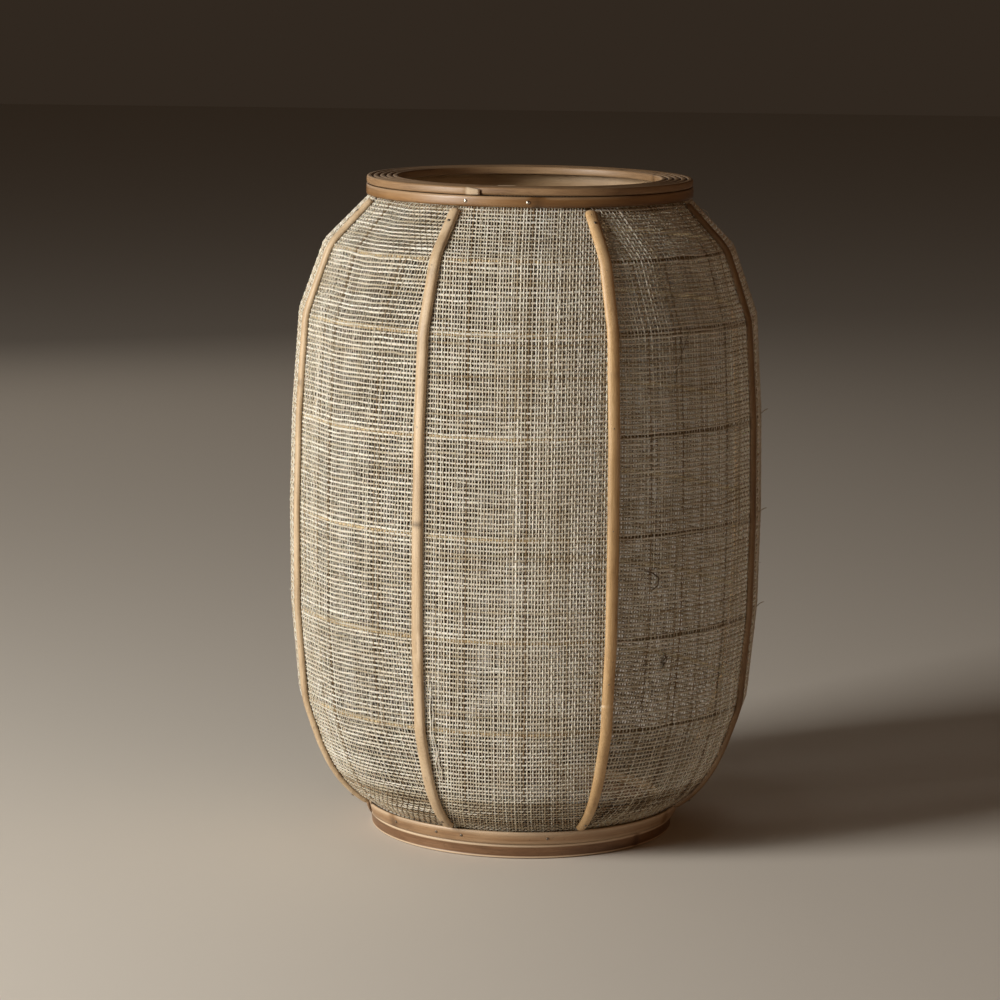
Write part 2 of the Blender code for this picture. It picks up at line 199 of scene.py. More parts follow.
def maths(tree, operation, *values):
    made = node(tree, "ShaderNodeMath", operation=operation)
    for socket, value in zip(made.inputs, values):
        if isinstance(value, (int, float)):
            socket.default_value = value
        else:
            tree.links.new(value, socket)
    return made.outputs[0]


def coordinates(tree, round_, along, across):
    """Object coordinates in metres, stretched along the fibre: round hoops or upright ribs."""
    where = node(tree, "ShaderNodeTexCoord").outputs["Object"]
    parts = node(tree, "ShaderNodeSeparateXYZ")
    tree.links.new(where, parts.inputs[0])
    x, y, z = parts.outputs
    joined = node(tree, "ShaderNodeCombineXYZ")
    if round_:
        angle = maths(tree, "ARCTAN2", y, x)
        radius = maths(tree, "SQRT", maths(tree, "ADD", maths(tree, "MULTIPLY", x, x),
                                           maths(tree, "MULTIPLY", y, y)))
        values = (maths(tree, "MULTIPLY", angle, 0.11 * along), maths(tree, "MULTIPLY", radius, across),
                  maths(tree, "MULTIPLY", z, across))
    else:
        values = (maths(tree, "MULTIPLY", x, across), maths(tree, "MULTIPLY", y, across),
                  maths(tree, "MULTIPLY", z, along))
    for value, socket in zip(values, joined.inputs):
        tree.links.new(value, socket)
    return joined.outputs[0]


def noise(tree, vector, scale, detail=4.0, rough=0.6):
    made = node(tree, "ShaderNodeTexNoise")
    made.inputs["Scale"].default_value = scale
    made.inputs["Detail"].default_value = detail
    made.inputs["Roughness"].default_value = rough
    tree.links.new(vector, made.inputs["Vector"])
    return made.outputs["Fac"]


def cane_material(name, dark, mid, light, round_, gloss=0.42, bump=0.35):
    mat, tree, shader = new_material(name)
    fibres = noise(tree, coordinates(tree, round_, 55.0, 2400.0), 1.0, 5.0, 0.65)
    patches = noise(tree, coordinates(tree, round_, 28.0, 140.0), 1.0, 3.0, 0.55)
    specks = noise(tree, coordinates(tree, round_, 420.0, 700.0), 1.0, 2.0, 0.5)
    tint = node(tree, "ShaderNodeAttribute", attribute_name="tint").outputs["Fac"]
    base = ramp(tree, patches, ((0.30, dark), (0.52, mid), (0.72, light)))
    base = mixed(tree, 0.55, base, ramp(tree, fibres, ((0.32, dark), (0.55, mid), (0.7, light))))
    base = mixed(tree, ramp(tree, specks, ((0.66, (0, 0, 0)), (0.74, (0.45, 0.45, 0.45)))), base,
                 tuple(0.45 * c for c in dark))
    base = mixed(tree, ramp(tree, tint, ((0.0, (0.85, 0.85, 0.85)), (0.5, (0, 0, 0)))), base,
                 tuple(0.22 * c for c in dark))
    base = mixed(tree, ramp(tree, tint, ((0.5, (0, 0, 0)), (1.0, (0.9, 0.9, 0.9)))), base,
                 (0.76, 0.60, 0.42))
    tree.links.new(base, shader.inputs["Base Color"])
    shine = node(tree, "ShaderNodeMapRange")
    tree.links.new(fibres, shine.inputs[0])
    shine.inputs[3].default_value, shine.inputs[4].default_value = gloss - 0.08, gloss + 0.16
    tree.links.new(shine.outputs[0], shader.inputs["Roughness"])
    lift = node(tree, "ShaderNodeBump")
    lift.inputs["Strength"].default_value = bump
    lift.inputs["Distance"].default_value = 0.0003
    tree.links.new(fibres, lift.inputs["Height"])
    tree.links.new(lift.outputs[0], shader.inputs["Normal"])
    return mat


def yarn_material():
    mat, tree, shader = new_material("yarn")
    tint = node(tree, "ShaderNodeAttribute", attribute_name="tint").outputs["Fac"]
    blotch = noise(tree, coordinates(tree, False, 60.0, 60.0), 1.0, 3.0, 0.6)
    fine = noise(tree, coordinates(tree, False, 2600.0, 2600.0), 1.0, 2.0, 0.6)
    base = ramp(tree, tint, ((0.0, (0.04, 0.020, 0.008)), (0.3, (0.25, 0.17, 0.09)),
                             (0.5, (0.45, 0.39, 0.285)), (0.68, (0.69, 0.645, 0.545)),
                             (1.0, (0.90, 0.87, 0.78))))
    base = mixed(tree, ramp(tree, blotch, ((0.38, (0, 0, 0)), (0.68, (0.35, 0.35, 0.35)))), base,
                 (0.52, 0.42, 0.28))
    base = mixed(tree, 0.5, base, ramp(tree, fine, ((0.3, (0.66, 0.64, 0.60)), (0.7, (1, 1, 1)))),
                 "MULTIPLY")
    tree.links.new(base, shader.inputs["Base Color"])
    shader.inputs["Roughness"].default_value = 0.88
    shader.inputs["Sheen Weight"].default_value = 0.15
    shader.inputs["Specular IOR Level"].default_value = 0.25
    shader.inputs["Subsurface Weight"].default_value = 0.12
    shader.inputs["Subsurface Scale"].default_value = 0.001
    shader.inputs["Subsurface Radius"].default_value = (1.0, 0.62, 0.35)
    lift = node(tree, "ShaderNodeBump")
    lift.inputs["Strength"].default_value = 0.5
    lift.inputs["Distance"].default_value = 0.0002
    tree.links.new(fine, lift.inputs["Height"])
    tree.links.new(lift.outputs[0], shader.inputs["Normal"])
    return mat


def metal_material(name, colour, rough):
    mat, tree, shader = new_material(name)
    spots = noise(tree, coordinates(tree, False, 300.0, 300.0), 1.0, 4.0, 0.6)
    tree.links.new(ramp(tree, spots, ((0.3, tuple(0.6 * c for c in colour)), (0.7, colour))),
                   shader.inputs["Base Color"])
    shader.inputs["Metallic"].default_value = 1.0
    shine = node(tree, "ShaderNodeMapRange")
    tree.links.new(spots, shine.inputs[0])
    shine.inputs[3].default_value, shine.inputs[4].default_value = rough - 0.1, rough + 0.15
    tree.links.new(shine.outputs[0], shader.inputs["Roughness"])
    return mat


rib_mats = [cane_material("rib_cane_" + name, dark, mid, light, False) for name, dark, mid, light in (
    ("pale", (0.31, 0.20, 0.11), (0.56, 0.41, 0.25), (0.70, 0.56, 0.39)),
    ("golden", (0.32, 0.18, 0.070), (0.61, 0.395, 0.19), (0.73, 0.53, 0.30)),
    ("tan", (0.25, 0.145, 0.065), (0.44, 0.29, 0.15), (0.56, 0.41, 0.25)),
    ("painted_shade_brown", (0.13, 0.065, 0.026), (0.26, 0.15, 0.066), (0.36, 0.23, 0.115)))]
band_mat, low_band_mat, coil_mat, low_mat, ring_mat, hoop_mat = (
    cane_material(name, dark, mid, light, True, gloss) for name, dark, mid, light, gloss in (
        ("band_cane", (0.13, 0.058, 0.02), (0.25, 0.13, 0.048), (0.36, 0.205, 0.085), 0.34),
        ("low_band_cane", (0.17, 0.09, 0.04), (0.34, 0.20, 0.10), (0.47, 0.31, 0.18), 0.4),
        ("coil_cane", (0.14, 0.07, 0.028), (0.27, 0.155, 0.07), (0.40, 0.25, 0.13), 0.42),
        ("low_coil_cane", (0.10, 0.048, 0.02), (0.20, 0.10, 0.045), (0.33, 0.19, 0.10), 0.42),
        ("ring_cane", (0.55, 0.37, 0.17), (0.80, 0.60, 0.32), (0.90, 0.74, 0.46), 0.5),
        ("hoop_cane", (0.24, 0.14, 0.06), (0.42, 0.28, 0.15), (0.56, 0.42, 0.25), 0.5)))
yarn_mat = yarn_material()
steel_mat = metal_material("dull_steel", (0.30, 0.25, 0.20), 0.45)
bright_mat = metal_material("bright_steel", (0.72, 0.68, 0.60), 0.28)
plate_mat = metal_material("plated_steel", (0.66, 0.66, 0.64), 0.34)


# ---- cloth panels: real over-and-under yarns ----------------------------------------
S, Z, R, NZ, NR = line_through(SHELL, 2.5)
LENGTH = S[-1]
HEM_S = float(np.interp(-HEM_Z, -Z, S))


def ring_of(sides, turn=0.0):
    a = np.radians(turn + 360.0 / sides * np.arange(sides))
    return np.stack([np.cos(a), np.sin(a)], -1) * 0.5


FIVE, FOUR = ring_of(5, 90.0), ring_of(4)


def on_cloth(s, x, centre_deg, lift):
    """Points at distance s down the cloth and x sideways from the panel's middle."""
    z, r, nz, nr = (np.interp(s, S, v) for v in (Z, R, NZ, NR))
    deg = centre_deg + np.degrees(x / r)
    out = polar(nr, deg, nz)
    return polar(r, deg, z) + out * lift[..., None], out


def yarn(bag, points, out, width, tone, outline, flat=0.62):
    section = outline[None] * np.stack([width, flat * width], -1)[:, None]
    verts, faces = tube(points, out, section)
    shade = 0.08 + 0.92 * np.clip(1.0 + 2.2 * outline[:, 1], 0.0, 1.0)      # painted shade on the inward side of each yarn
    bag.append((verts, faces, (np.broadcast_to(tone, len(points))[:, None] * shade).ravel()))


def weave_layer(bag, rng, centre_deg, half_deg, s_low, s_high, depth, shift, pitch, base=0.70,
                dim=0.24):
    """One plain weave from s_low to s_high down the cloth; where hemmed it is `dim` darker, painted shade on
    the down-facing doubled hem.
    """
    wefts = np.arange(s_low + 1.2 + shift * WEFT, s_high - 0.8, WEFT)
    wefts = wefts + rng.uniform(-0.22, 0.22, len(wefts)) + wander(rng, len(wefts), 0.3, 9)
    wefts = wefts[(wefts > s_low + 0.9) & (wefts < s_high - 0.9)]
    widest = math.radians(half_deg) * R[(S >= s_low) & (S <= s_high)].max()
    count = int(widest / pitch) + 1
    warps = (np.arange(-count, count + 1) + shift) * pitch
    warps = warps + rng.uniform(-0.2, 0.2, len(warps)) + wander(rng, len(warps), 0.35, 7)
    sway = [wander(rng, len(wefts), 0.16, 25) for _ in warps]
    lean = np.array([warps[j] + sway[j] for j in range(len(warps))])      # warp by weft
    limit = math.radians(half_deg) * np.interp(wefts, S, R) - 0.25
    droop = wander(rng, len(warps) + 2, 0.25, 14)
    for i, s in enumerate(wefts):
        keep = np.abs(lean[:, i]) < limit[i] - 0.5
        if keep.sum() < 2:
            continue
        x = np.r_[-limit[i], lean[keep, i], limit[i]]
        sign = np.where((np.arange(len(warps))[keep] + i) % 2, 1.0, -1.0)
        lift = depth + np.r_[0.0, 0.30 * sign, 0.0]
        wave = wander(rng, len(x), 0.19, 5) + droop[:len(x)]
        sag = np.clip(s + wave, s_low + 0.4, s_high - 0.4)
        points, out = on_cloth(sag, x, centre_deg, lift)
        slub = 1.0 + np.clip(wander(rng, len(x), 0.17, 4), -0.25, 0.5)
        width = rng.uniform(1.22, 1.52) * slub
        tone = rng.normal(base, 0.09) - dim * (s > HEM_S) + wander(rng, len(x), 0.07, 6)
        yarn(bag, points, out, width, np.clip(tone, 0, 1), FIVE)
    for j in range(len(warps)):
        inside = np.abs(lean[j]) < limit - 0.5
        if inside.sum() < 3:
            continue
        rows = np.arange(len(wefts))[inside]
        sign = np.where((j + rows) % 2, -1.0, 1.0)
        s = np.r_[max(wefts[rows[0]] - 1.4, s_low), wefts[rows], min(wefts[rows[-1]] + 1.4, s_high)]
        x = np.r_[lean[j, rows[0]], lean[j, rows], lean[j, rows[-1]]]
        points, out = on_cloth(s, x, centre_deg, depth + np.r_[0.0, 0.30 * sign, 0.0])
        slub = 1.0 + np.clip(wander(rng, len(x), 0.17, 6), -0.25, 0.5)
        width = rng.choice([0.78, 0.90, 1.0, 1.35], p=[0.3, 0.4, 0.24, 0.06]) * slub
        tone = rng.normal(base, 0.1) if rng.rand() > 0.08 else rng.uniform(0.15, 0.42)
        tone = tone - dim * (s > HEM_S) + wander(rng, len(x), 0.07, 12)
        yarn(bag, points, out, width, np.clip(tone, 0, 1), FOUR, 0.8)


def gather(bag):
    verts = np.vstack([b[0] for b in bag])
    starts = np.cumsum([0] + [len(b[0]) for b in bag[:-1]]).tolist()
    faces = [[i + start for i in face] for b, start in zip(bag, starts) for face in b[1]]
    return verts, faces, np.concatenate([b[2] for b in bag])


for n, start in enumerate(RIB_DEG):
    end = RIB_DEG[n + 1] if n + 1 < len(RIB_DEG) else RIB_DEG[0] + 360.0
    rng = np.random.RandomState(100 + n)
    middle, half = 0.5 * (start + end), 0.5 * (end - start) - 0.3
    bag = []
    weave_layer(bag, rng, middle, half, 0.4, LENGTH - 0.2, CLOTH_MID, 0.0, WARP[n])
    # the hem's inner layer gets a low base tone of 0.26: painted shade behind the outer layer
    weave_layer(bag, rng, middle, half, HEM_S, LENGTH - 0.4, CLOTH_MID - HEM_STEP - 0.1, 0.5, WARP[n],
                0.26, 0.0)
    verts, quads, tone = gather(bag)
    panel = mesh_object("woven_panel_%d" % (n + 1), verts, quads, yarn_mat, tone,
                        ["cloth_panel_%d" % (n + 1)])


# ---- loose fibres, frayed ends and slubs on the cloth ----------------------------------
def strand(bag, places, width, tone):
    """Thin thread through (height, degrees, millimetres off the cloth) places."""
    z, deg, lift = np.array(places, float).T
    t = np.linspace(0, len(z) - 1, 6 * len(z))
    z, deg, lift = (np.interp(t, np.arange(len(z)), v) for v in (z, deg, lift))
    soft = np.array([0.25, 0.5, 0.25])
    for _ in range(3):
        z[1:-1], deg[1:-1], lift[1:-1] = (np.convolve(v, soft, "valid") for v in (z, deg, lift))
    s = np.interp(-z, -Z, S)
    r, nz, nr = (np.interp(s, S, v) for v in (R, NZ, NR))
    out = polar(nr, deg, nz)
    points = polar(r, deg, np.interp(s, S, Z)) + out * (CLOTH_MID + 0.75 + lift)[:, None]
    thin = width * np.interp(np.arange(len(z)), (0, 4, len(z) - 5, len(z) - 1), (0.4, 1, 1, 0.4))
    yarn(bag, points, out, thin, tone, FOUR, 0.9)


rng = np.random.RandomState(77)
loose = []
for low, high, deg, tone in ((62, 128, -22.9, 0.95), (70, 112, -22.2, 0.9), (96, 135, -23.1, 0.85),
                             (60, 84, -21.9, 0.9)):
    heights = np.linspace(high, low, 9)
    strand(loose, [(z, deg + rng.uniform(-0.3, 0.3), rng.uniform(0.0, 0.8)) for z in heights],
           0.75, tone)
strand(loose, [(202, 28.4, 0.2), (201, 30.2, 0.8), (197, 32.2, 1.0), (192, 32.0, 0.9), (188, 30.0, 0.3)],
       1.0, 0.0)
strand(loose, [(356, 42.0, 0), (346, 40.0, 0.5), (335, 38.0, 0.4), (318, 36.6, 0.1)], 0.5, 0.05)
for z, deg, way in ((141, 34.5, 1), (140, 34.9, -1), (143, 34.2, 1)):
    strand(loose, [(z + 4, deg, 0), (z + 2.5, deg + way, 0.8), (z, deg + 0.8 * way, 1.2),
                   (z - 2, deg + 0.2 * way, 0.7), (z - 4, deg + 0.7 * way, 0.2)], 0.7, 0.04)
strand(loose, [(394, 37.0, 0), (388, 38.4, 0.5), (381, 38.0, 0.9), (374, 39.2, 0.2)], 0.5, 0.06)
for z, deg in ((288.6, 84.0), (223.5, 79.0), (157.0, 83.0)):
    strand(loose, [(z, deg - 1.5, 0), (z + 1.0, deg, 1.2), (z + 1.8, deg + 0.8, 3.0),
                   (z + 2.2, deg + 1.0, 4.6)], 0.7, 0.5)
for _ in range(70):
    z, deg = rng.uniform(50, 425), rng.uniform(-180, 180)
    rise, turn = rng.uniform(-6, 6), rng.uniform(-3, 3)
    strand(loose, [(z, deg, 0), (z + 0.4 * rise, deg + 0.3 * turn, rng.uniform(0.5, 1.6)),
                   (z + rise, deg + turn, rng.uniform(0, 1.2))], rng.uniform(0.22, 0.4), rng.uniform(0.5, 1.0))
verts, quads, tone = gather(loose)
mesh_object("loose_fibres", verts, quads, yarn_mat, tone)


# ---- rings: round cane with swollen nodes -------------------------------------------
shell_line = line_through(SHELL, 0.0, 0.25)
for n in range(6):
    rng = np.random.RandomState(300 + n)
    k = int(np.argmin(np.hypot(shell_line[1] - RING_Z[n], shell_line[2] - RING_R[n])))
    before, after = max(k - 12, 0), k + 12
    nz, nr = (0.5 * (shell_line[m][before] + shell_line[m][after]) for m in (3, 4))
    size = math.hypot(nz, nr)
    r0, z0 = RING_R[n] - nr / size * CANE_R, RING_Z[n] - nz / size * CANE_R
    deg = np.linspace(0, 360, 240, endpoint=False)
    centre = polar(r0 - 0.04, deg, z0)
    out = polar(1.0, deg, 0.0)
    swell, tone = np.ones(240), np.full(240, 0.5)
    for at in rng.uniform(0, 360, 5):
        gap = np.abs((deg - at + 180) % 360 - 180)
        swell = swell - 0.03 * np.exp(-(gap / 2.0) ** 2)
        tone = tone - 0.34 * np.exp(-(gap / 0.9) ** 2)
    ring_angle = np.radians(np.arange(0, 360, 30))
    section = np.stack([np.cos(ring_angle), np.sin(ring_angle)], -1) * CANE_R
    verts, quads = tube(centre, out, section[None] * swell[:, None, None] * 0.985, True)
    painted_shade_angle = np.abs((deg + 32.0 + 180) % 360 - 180)          # painted shade: the cane is darkened away from the lit front left
    tone = tone - 0.44 * np.clip((painted_shade_angle - 48.0) / 10.0, 0.0, 1.0)
    mesh_object("cane_ring_%d" % (n + 1), verts, quads, ring_mat, np.repeat(tone, 12),
                ["ring_%d" % (n + 1)])


# ---- ribs: split cane, flat inside and faceted outside --------------------------------
def shell_at(z):
    for (z0, r0), (z1, r1) in zip(SHELL, SHELL[1:]):
        if z1 <= z <= z0:
            return z, r0 + (z0 - z) / (z0 - z1) * (r1 - r0)


RIB_LINE = [shell_at(RIB_TOP_Z)] + SHELL[2:13] + [shell_at(RIB_LOW_Z)]
RS, RZ, RR, RNZ, RNR = line_through(RIB_LINE, 9.0, 1.5)
# each rib's (height, tone, length) of knots and (low, high, left, right, tone) of peels
KNOTS = {0: ((310.0, -0.3, 2.0),), 1: ((231.6, -0.4, 1.8), (392.0, -0.15, 3.0)),
         2: ((114.2, -0.42, 0.7), (330.0, -0.12, 3.0)), 3: ((250.0, -0.3, 1.5),),
         4: ((180.0, -0.35, 2.0),),
         5: ((290.0, -0.3, 2.2),), 6: ((130.0, -0.35, 1.6),), 7: ((345.0, -0.3, 2.0),)}
PEELS = {0: ((180, 215, 4, 7, 0.2),),
         1: ((141, 163, 2, 5, 0.42), (240, 330, 4, 7, 0.16), (96, 128, 3, 6, 0.2)),
         2: ((113.2, 115.2, 0, 14, 0.5), (250, 300, 2, 5, 0.18)), 3: ((300, 350, 3, 6, 0.2),),
         4: ((90, 140, 3, 6, 0.22),), 5: ((200, 240, 4, 7, 0.2),), 6: ((320, 370, 3, 6, 0.2),),
         7: ((210, 260, 3, 6, 0.2),)}
PINS = {1: (426.0, 100.5, 63.0, 230.0, 360.5),
        2: (425.0, 295.5, 230.0, 164.6, 129.0, 122.0, 111.0, 105.5, 394.0)}
SHINY = {1: (395.0, 293.7), 0: (293.0,), 4: (162.0,), 6: (293.5, 100.0)}
RIB_CANE = (0, 0, 1, 3, 1, 2, 0, 2)                     # each rib's kind of cane; the fourth rib, turned away from the light, takes the darker brown copy as painted shade
RIB_SHAPE = np.array([(-0.5, 0.12), (-0.49, 0.42), (-0.45, 0.70), (-0.36, 0.90), (-0.22, 0.985),
                      (-0.04, 1.0), (0.12, 0.97), (0.27, 0.84), (0.39, 0.63), (0.47, 0.38),
                      (0.5, 0.12), (0.46, 0.0), (0.0, 0.0), (-0.46, 0.0)])
dents, shiny = [], []
for n, deg in enumerate(RIB_DEG):
    rng = np.random.RandomState(500 + n)
    count = len(RS)
    to_end = np.minimum(RS - RS[0], RS[-1] - RS)
    taper = 1.0 - 0.22 * np.exp(-(to_end / 1.4) ** 2)
    width = RIB_W * (1.0 + wander(rng, count, 0.022, 40)) * taper
    if n == 2:
        width = width * np.interp(RZ, (RIB_LOW_Z, 50.0, 95.0), (0.78, 0.92, 1.0))
    thick = RIB_T * (1.0 + np.clip(wander(rng, count, 0.03, 30), -0.08, 0.03)) * taper
    tone = 0.5 + wander(rng, count, 0.05, 35)
    drift = wander(rng, count, 0.10, 60)
    shape = RIB_SHAPE * ((1.0, 1.0) if n != 3 else (-1.0, 1.0))
    shape = shape if n != 3 else shape[::-1]
    tones = np.repeat(tone[:, None], len(shape), 1)
    for height, depth, reach in KNOTS[n]:
        gap = np.abs(RZ - height)
        width = width + 0.2 * np.exp(-(gap / 5.0) ** 2)
        tones[:, 2:8] += (depth * np.exp(-(gap / reach) ** 2))[:, None]
    for low, high, first, last, lift in PEELS[n]:
        span = np.clip(np.minimum(RZ - low, high - RZ) / (0.2 * (high - low)), 0.0, 1.0)
        tones[:, first:last] += (lift * span)[:, None]
    tones[:1] = tones[-1:] = 0.78
    # painted shade: the flank turned from the light is a little darker
    tones[:, 7:11] -= 0.04
    section = shape[None] * np.stack([width, thick], -1)[:, None]
    section[..., 0] += drift[:, None]
    section[..., 1] += (0.03 * rng.randn(len(shape)))[None] * (shape[None, :, 1] > 0.2)
    out = polar(RNR, deg, RNZ)
    centre = polar(RR, deg, RZ) + out * (RIB_FIRST + 0.02)
    verts, quads = tube(centre, out, section)
    mesh_object("split_rib_%d" % (n + 1), verts, quads, rib_mats[RIB_CANE[n]], tones.ravel(),
                ["rib_%d" % (n + 1)])
    spots = PINS.get(n) or [z + rng.uniform(4.6, 6.5) for z in RING_Z] + [425.5]
    for group, heights in ((dents, spots), (shiny, SHINY.get(n, ()))):
        for z in heights:
            k = int(np.argmin(np.abs(RZ - z)))
            side = rng.uniform(-0.9, 0.6)
            spot_deg = deg + math.degrees(side / RR[k])
            o = polar(RNR[k], spot_deg, RNZ[k])
            group.append((polar(RR[k], spot_deg, RZ[k]) + o * (RIB_FIRST + thick[k] * 0.985), o,
                          rng.uniform(0.42, 0.58)))


def dome(points, rim, height, sides=10):
    """Small domed disc round each (place, outward, radius)."""
    verts, quads = [], []
    for place, out, radius in points:
        side = unit(np.cross(out, (0.31, 0.2, 1.0)))
        up = np.cross(side, out)
        base = len(verts)
        for r, h in ((0.35, -0.5), (rim, -0.2), (rim, 0.0), (0.35, height)):
            for i in range(sides):
                a = 2 * math.pi * i / sides
                verts.append(place + radius * r * (side * math.cos(a) + up * math.sin(a)) + out * h)
        for row in range(3):
            for i in range(sides):
                j = (i + 1) % sides
                quads.append((base + row * sides + i, base + row * sides + j,
                              base + (row + 1) * sides + j, base + (row + 1) * sides + i))
        for m in range(sides // 2 - 1):
            quads.append((base + sides - 1 - m, base + sides - 2 - m, base + m + 1, base + m))
            top = base + 3 * sides
            quads.append((top + m, top + m + 1, top + sides - 2 - m, top + sides - 1 - m))
    return np.array(verts), quads


verts, quads = dome(dents, 1.0, 0.05)
mesh_object("rib_pin_ends", verts, quads, steel_mat, None)
verts, quads = dome(shiny, 1.25, 0.3)
mesh_object("rib_bright_pins", verts, quads, bright_mat, None)


# ---- coils ----------------------------------------------------------------------------
SOFT = rounded(1.0, 1.0, 0.3, 5)
LIPPED = np.array([(0.40, 0.0), (0.49, 0.035), (0.5, 0.10), (0.47, 0.145), (0.425, 0.165), (0.44, 0.2),
                   (0.45, 0.5), (0.445, 0.76), (0.47, 0.80), (0.5, 0.85), (0.5, 0.94), (0.46, 0.99),
                   (0.38, 1.0),
                   (-0.38, 1.0), (-0.5, 0.92), (-0.5, 0.08), (-0.38, 0.0)])
# tone offsets round the lipped outline: pale lips, partly the cane's pale skin and partly painted highlight,
# and a darker groove as painted shade
LIP_SKIN_AND_PAINTED_LIGHT = np.array([0.2, 0.4, 0.4, 0.1, -0.25, -0.1, -0.05, -0.03, 0.1, 0.4, 0.42, 0.3] + 5 * [0])
# a coil runs clockwise, so its side axis points inwards and the lips are turned to face out
LIPPED, LIP_SKIN_AND_PAINTED_LIGHT = (LIPPED * (-1.0, 1.0))[::-1], LIP_SKIN_AND_PAINTED_LIGHT[::-1]


def coil(name, outer_r, base_z, height, turns, seam_deg, lean, outline, lip_skin_and_light, mat, replaces,
         seed):
    """Flat spiral of cane, wound inwards turn by turn, its ends thinned to a scarf."""
    rng = np.random.RandomState(seed)
    per = 360
    total = turns * per - 4
    i = np.arange(total + 1)
    turn, phase = i // per, (i % per) / per
    t = np.clip((phase - 0.86) / 0.13, 0, 1)
    rim = outer_r - COIL_PITCH * (turn + t * t * (3 - 2 * t))
    deg = seam_deg - 360.0 * i / per
    start, finish = np.clip((i + 0.4) / 5.0, 0.0, 1.0), np.clip((total - i + 0.5) / 14.0, 0.0, 1.0)
    width = COIL_W * (0.15 + 0.85 * np.minimum(start, finish))
    high = height * (0.62 + 0.38 * start) * (1.0 + np.minimum(wander(rng, total + 1, 0.012, 120), 0.0))
    section = outline[None] * np.stack([width, high], -1)[:, None]
    centre_r = np.where(i < 5, rim - COIL_W + width / 2, rim - width / 2)
    centre_r = centre_r + np.minimum(wander(rng, total + 1, 0.05, 60), 0.06)
    centre = polar(centre_r, deg, base_z)
    up = np.tile((0.0, 0.0, 1.0), (total + 1, 1))
    verts, quads = tube(centre, up, section)
    k = len(outline)
    grid = verts.reshape(total + 1, k, 3)
    grid += polar(1.0, deg, 0.0)[:, None] * (lean * (grid[..., 2:] - base_z))
    tone = 0.5 + wander(rng, total + 1, 0.05, 100)
    for at in rng.uniform(10, total, turns + 2):
        tone = tone - 0.3 * np.exp(-((i - at) / 1.6) ** 2)
    tone = np.repeat(tone[:, None], k, 1) + lip_skin_and_light
    tone[:5], tone[-8:] = 1.0, 0.8
    return mesh_object(name, grid.reshape(-1, 3), quads, mat, np.clip(tone, 0, 1).ravel(),
                       replaces)


coil("top_rim_coil", TOP_R - 0.3, TOP_COIL_Z, TOP_COIL_H, TOP_TURNS, -18.0, 0.0, SOFT, 0.0,
     coil_mat, ["top_coil"], 21)
coil("bottom_rim_coil", LOW_COIL_R, 0.0, LOW_COIL_H, LOW_TURNS, 150.0, 0.15, LIPPED, LIP_SKIN_AND_PAINTED_LIGHT,
     low_mat, ["bottom_coil"], 22)


# ---- bands with lapped ends --------------------------------------------------------------
def band(name, top_r, foot_r, z0, z1, seam_deg, mat, replaces, seed, pale, bulge=0.35):
    rng = np.random.RandomState(seed)
    steps, lap = 256, 12
    total = steps + lap - 2
    i = np.arange(total + 1)
    deg = seam_deg + 360.0 * i / steps
    half = 0.5 * BAND_T - 0.16
    low = np.where(i >= steps, BAND_T - half, 0.0)
    high = np.where(i <= lap, half, BAND_T)
    v = np.linspace(0.0, 1.0, 7)
    edge = 1.0 - np.abs(2 * v - 1) ** 4
    waver = wander(rng, total + 1, 0.06, 25)
    z_low, z_high = z0 + np.abs(waver), z1 - np.abs(wander(rng, total + 1, 0.08, 25))
    rows = []
    for f, e in zip(v, edge):                       # outer face, going up
        z = z_low + (z_high - z_low) * f
        r = foot_r + (top_r - foot_r) * f - BAND_T + high - bulge * (1 - e)
        rows.append(polar(r, deg, z))
    for f in v[::-1]:                               # inner face, going down
        z = z_low + (z_high - z_low) * f
        rows.append(polar(foot_r + (top_r - foot_r) * f - BAND_T + low, deg, z))
    grid = np.stack(rows, 1)
    n, k = grid.shape[:2]
    a, b = np.meshgrid(np.arange(n - 1), np.arange(k), indexing="ij")
    quads = np.stack([a * k + b, (a + 1) * k + b, (a + 1) * k + (b + 1) % k,
                      a * k + (b + 1) % k], -1)
    caps = np.array([(m, m + 1, k - 2 - m, k - 1 - m) for m in range(k // 2 - 1)])
    quads = np.vstack([quads.reshape(-1, 4), caps, caps[:, ::-1] + (n - 1) * k]).tolist()
    tone = 0.5 + wander(rng, n, 0.04, 40)
    for at in rng.uniform(20, total - 20, 4):
        tone = tone - 0.3 * np.exp(-((i - at) / 1.4) ** 2)
    tone[-1] = tone[-2] = 0.15
    # pale holds tone offsets for the outer-face rows by height: painted shade low down and painted highlight
    # towards the top edge
    painted_face_light = np.zeros(k)
    painted_face_light[:7] = pale
    return mesh_object(name, grid.reshape(-1, 3), quads, mat, (tone[:, None] + painted_face_light).ravel(),
                       replaces)


# top band painted darker low and lighter at its top edge, bottom band lighter at its top edge: painted shade
# and painted highlight
band("top_rim_band", TOP_R, TOP_R, *TOP_BAND_Z, 150.0, band_mat, ["top_band"], 31,
     (-0.22, -0.14, -0.04, 0.0, 0.0, 0.06, 0.1))
band("bottom_rim_band", LOW_BAND_R, LOW_BAND_FOOT_R, *LOW_BAND_Z, -90.0, low_band_mat,
     ["bottom_band"], 32, (0.1, 0.06, -0.04, 0.0, 0.06, 0.22, 0.3))


# ---- inner hoops ---------------------------------------------------------------------------
def hoop(name, r_in, r_out, z0, z1, replaces, seed):
    rng = np.random.RandomState(seed)
    deg = np.linspace(0, 360, 200, endpoint=False)
    section = rounded(r_out - r_in, z1 - z0, 0.5, 3)
    centre = polar(0.5 * (r_in + r_out), deg, z0)
    verts, quads = tube(centre, np.tile((0.0, 0.0, 1.0), (200, 1)), section, True)
    tone = 0.5 + 0.05 * np.sin(np.radians(deg * 3 + rng.uniform(0, 360)))
    mesh_object(name, verts, quads, hoop_mat, np.repeat(tone, len(section)), replaces)


